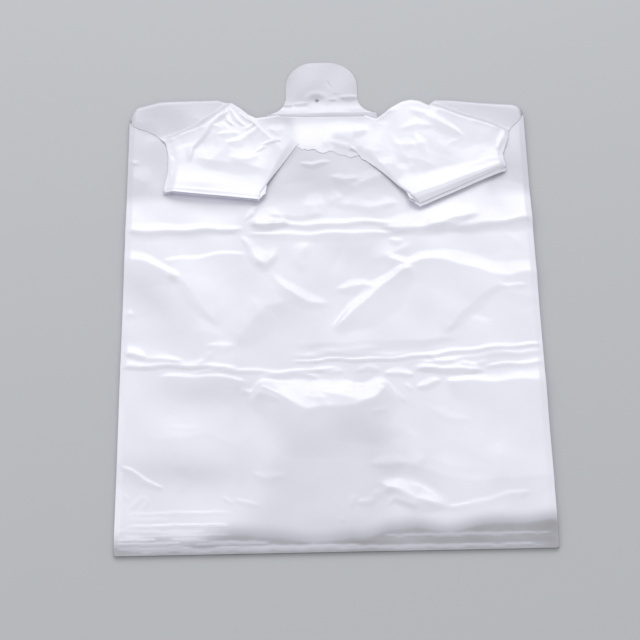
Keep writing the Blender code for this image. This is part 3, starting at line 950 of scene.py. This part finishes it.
def bend_rows(step):
    """Points along the top fold."""
    rows = FOLD_LINE + BEND_LENGTH * np.arange(BEND_ROWS + 1) / BEND_ROWS
    across = np.arange(-INNER_END + SIDE_CLEARANCE, INNER_END - SIDE_CLEARANCE, step)
    return np.array([(p, t) for t in rows for p in across])


def leaf_fills():
    """Points of the gusset leaves, closer together where the leaves are folded over with the handles."""
    fills = [fold_columns()]
    for low, high in ((HALF + LEAF_CLEARANCE, INNER_END), (-INNER_END, -HALF - LEAF_CLEARANCE)):
        fills.append(grid((low, END_CLEARANCE), (high, FOLD_LINE), PLAIN_STEP))
        fills.append(grid((low, FOLD_LINE), (high, TUBE_TOP), FOLDED_STEP))
    return fills


def sheet_fills(below, bend, above):
    """Points of a sheet and its leaves, this far apart below the fold line, on the bend and above it."""
    side = HALF - SIDE_CLEARANCE
    return leaf_fills() + [
        grid((-side, END_CLEARANCE), (side, FOLD_LINE - END_CLEARANCE), below),
        grid((-side, FOLD_LINE + BEND_LENGTH + END_CLEARANCE), (side, TUBE_TOP), above),
        bend_rows(bend),
    ]


def film_front():
    """The front and the gusset leaves on its side."""
    flat, faces = fill_pattern(front_outline(), sheet_fills(FRONT_STEP, FRONT_BEND_STEP, FOLDED_STEP), [])
    return film_object("film_front", flat, faces, True, np.zeros(len(flat), bool))


def film_back():
    """The back, its gusset leaves and the tab, which has its own points down to the fold line."""
    hole = arc(PIN_AT, PIN_RADIUS, 0, 360, 12)
    edge = tab_edge()
    slit = [p for p in split(edge, SLIT_STEP) + edge[-1:] if p[1] < SLIT_TOP]
    right = [p for p in slit if p[0] > TAB_MIDDLE]
    left = [p for p in slit if p[0] < TAB_MIDDLE]
    base = split([edge[-1], edge[0]], SLIT_STEP)[1:]
    fills = sheet_fills(PLAIN_STEP, BACK_BEND_STEP, UPPER_STEP)
    flat, faces = fill_pattern(back_outline(), fills, [right, left, base, hole])

    middles = middles_of(flat, faces)
    on_tab = inside(middles, edge)
    whole = ~inside(middles, hole[:-1])
    other_faces = [face for face, tab in zip(faces, on_tab) if not tab]
    tab_faces = [face for face, tab in zip(faces, on_tab & whole) if tab]
    loose = sorted({v for face in tab_faces for v in face if flat[v][1] > FOLD_LINE + ON_LINE})
    own = {v: len(flat) + i for i, v in enumerate(loose)}
    tab_faces = [tuple(own.get(v, v) for v in face) for face in tab_faces]
    tab = np.arange(len(flat) + len(loose)) >= len(flat)
    return film_object("film_back", np.concatenate([flat, flat[loose]]), other_faces + tab_faces, False, tab)


# Colours of the film from one layer to many, also used for its painted shade and highlights, and the place of
# the middle one between them
THIN_COLOUR = (0.36, 0.36, 0.385, 1.0)
MIDDLE_COLOUR = (0.53, 0.535, 0.605, 1.0)
THICK_COLOUR = (0.895, 0.895, 1.0, 1.0)
MIDDLE_AT = 0.15
# How much whiter or greyer the clouds in it are, and the range of its roughness
CLOUDS = 0.12
GLOSS = (0.28, 0.40)


def film_material():
    """Glossy white film, whiter where more layers lie under it, with painted shade and highlights in places,
    slightly cloudy and uneven in gloss.
    """
    material = bpy.data.materials.new("white_film")
    material.use_nodes = True
    nodes, links = material.node_tree.nodes, material.node_tree.links
    shader = nodes["Principled BSDF"]
    place = nodes.new("ShaderNodeTexCoord")

    def noise(scale, detail):
        found = nodes.new("ShaderNodeTexNoise")
        found.inputs["Scale"].default_value = scale
        found.inputs["Detail"].default_value = detail
        links.new(place.outputs["Object"], found.inputs["Vector"])
        return found

    def scaled(source, low, high):
        found = nodes.new("ShaderNodeMapRange")
        found.inputs["To Min"].default_value = low
        found.inputs["To Max"].default_value = high
        links.new(source, found.inputs["Value"])
        return found.outputs["Result"]

    # The whiteness read here holds painted shade and painted highlights as well as the layers
    white = nodes.new("ShaderNodeAttribute")
    white.attribute_name = "film_white_and_painted_light"
    cloudy = nodes.new("ShaderNodeMath")
    cloudy.operation = "ADD"
    links.new(white.outputs["Fac"], cloudy.inputs[0])
    links.new(scaled(noise(26.0, 4.0).outputs["Fac"], -CLOUDS, CLOUDS), cloudy.inputs[1])
    colours = nodes.new("ShaderNodeValToRGB")
    colours.color_ramp.elements[0].color = THIN_COLOUR
    colours.color_ramp.elements[1].color = THICK_COLOUR
    colours.color_ramp.elements.new(MIDDLE_AT).color = MIDDLE_COLOUR
    links.new(cloudy.outputs["Value"], colours.inputs["Fac"])
    links.new(colours.outputs["Color"], shader.inputs["Base Color"])

    links.new(scaled(noise(60.0, 3.0).outputs["Fac"], *GLOSS), shader.inputs["Roughness"])

    crinkle = noise(90.0, 3.0)
    crinkle.inputs["Distortion"].default_value = 0.8
    raised = nodes.new("ShaderNodeBump")
    raised.inputs["Strength"].default_value = 0.08
    raised.inputs["Distance"].default_value = 0.0012
    links.new(crinkle.outputs["Fac"], raised.inputs["Height"])
    links.new(raised.outputs["Normal"], shader.inputs["Normal"])
    shader.inputs["Specular IOR Level"].default_value = 0.75
    shader.inputs["Coat Weight"].default_value = 0.25
    shader.inputs["Coat Roughness"].default_value = 0.1
    return material


def floor_material():
    """Plain pale floor."""
    material = bpy.data.materials.new("floor")
    material.use_nodes = True
    shader = material.node_tree.nodes["Principled BSDF"]
    shader.inputs["Roughness"].default_value = 0.7
    shader.inputs["Base Color"].default_value = (0.50, 0.515, 0.54, 1.0)
    return material


# Floor, in metres
FLOOR_SIZE = 8.0
FLOOR_DROP = 0.0001


def make_floor():
    """A floor just below the bag, wide enough for every view."""
    bpy.ops.mesh.primitive_plane_add(size=FLOOR_SIZE, location=(0, 0, -FLOOR_DROP))
    floor = bpy.context.object
    floor.name = "floor"
    floor.data.materials.append(floor_material())


def add_light(name, place, size, power):
    """A softbox that faces the bag, with its place and size in metres and its power in watts."""
    lamp = bpy.data.lights.new(name, "AREA")
    lamp.shape = "RECTANGLE"
    lamp.size, lamp.size_y = size
    lamp.energy = power
    item = bpy.data.objects.new(name, lamp)
    item.location = place
    item.rotation_euler = (-Vector(place)).to_track_quat("-Z", "Y").to_euler()
    bpy.context.scene.collection.objects.link(item)


def make_lights():
    """Softboxes behind, at the left and in front, and an even white sky."""
    add_light("back_softbox", (0.05, 1.42, 1.11), (1.8, 1.1), 17.0)
    add_light("left_softbox", (-1.5, 0.1, 1.2), (0.7, 1.0), 3.5)
    add_light("front_fill", (0.4, -1.6, 1.5), (1.6, 1.0), 5.0)
    world = bpy.data.worlds.new("studio")
    world.use_nodes = True
    sky = world.node_tree.nodes["Background"]
    sky.inputs["Color"].default_value = (1.0, 1.0, 1.0, 1.0)
    sky.inputs["Strength"].default_value = 0.57
    bpy.context.scene.world = world


# Camera, as the photo's perspective gives it: its angle above the floor, its turn about its own axis, its
# distance and lens, and the place it looks at in metres
CAMERA_TILT = 67.0
CAMERA_ROLL = 1.15
CAMERA_DISTANCE = 1.037
CAMERA_LENS = 81.4
AIM = (-0.0080, -0.0245, 0.003)


def make_camera():
    """The photo's camera, which looks down at the bag from the front."""
    data = bpy.data.cameras.new("camera")
    data.lens = CAMERA_LENS
    data.sensor_width = 36.0
    item = bpy.data.objects.new("camera", data)
    tilt = math.radians(CAMERA_TILT)
    back = Vector((0.0, -math.cos(tilt), math.sin(tilt)))
    item.location = Vector(AIM) + back * CAMERA_DISTANCE
    look = (-back).to_track_quat("-Z", "Y").to_matrix()
    item.rotation_euler = (look @ Matrix.Rotation(math.radians(-CAMERA_ROLL), 3, "Z")).to_euler()
    bpy.context.scene.collection.objects.link(item)
    bpy.context.scene.camera = item


def main():
    """Makes the bag of its two pieces of film, and the studio round it."""
    film = film_material()
    for piece in (film_front(), film_back()):
        piece.data.materials.append(film)
        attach(piece, "root")
        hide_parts("carrier_bag")
    make_floor()
    make_lights()
    make_camera()
    bpy.context.scene.view_settings.view_transform = "Standard"


main()
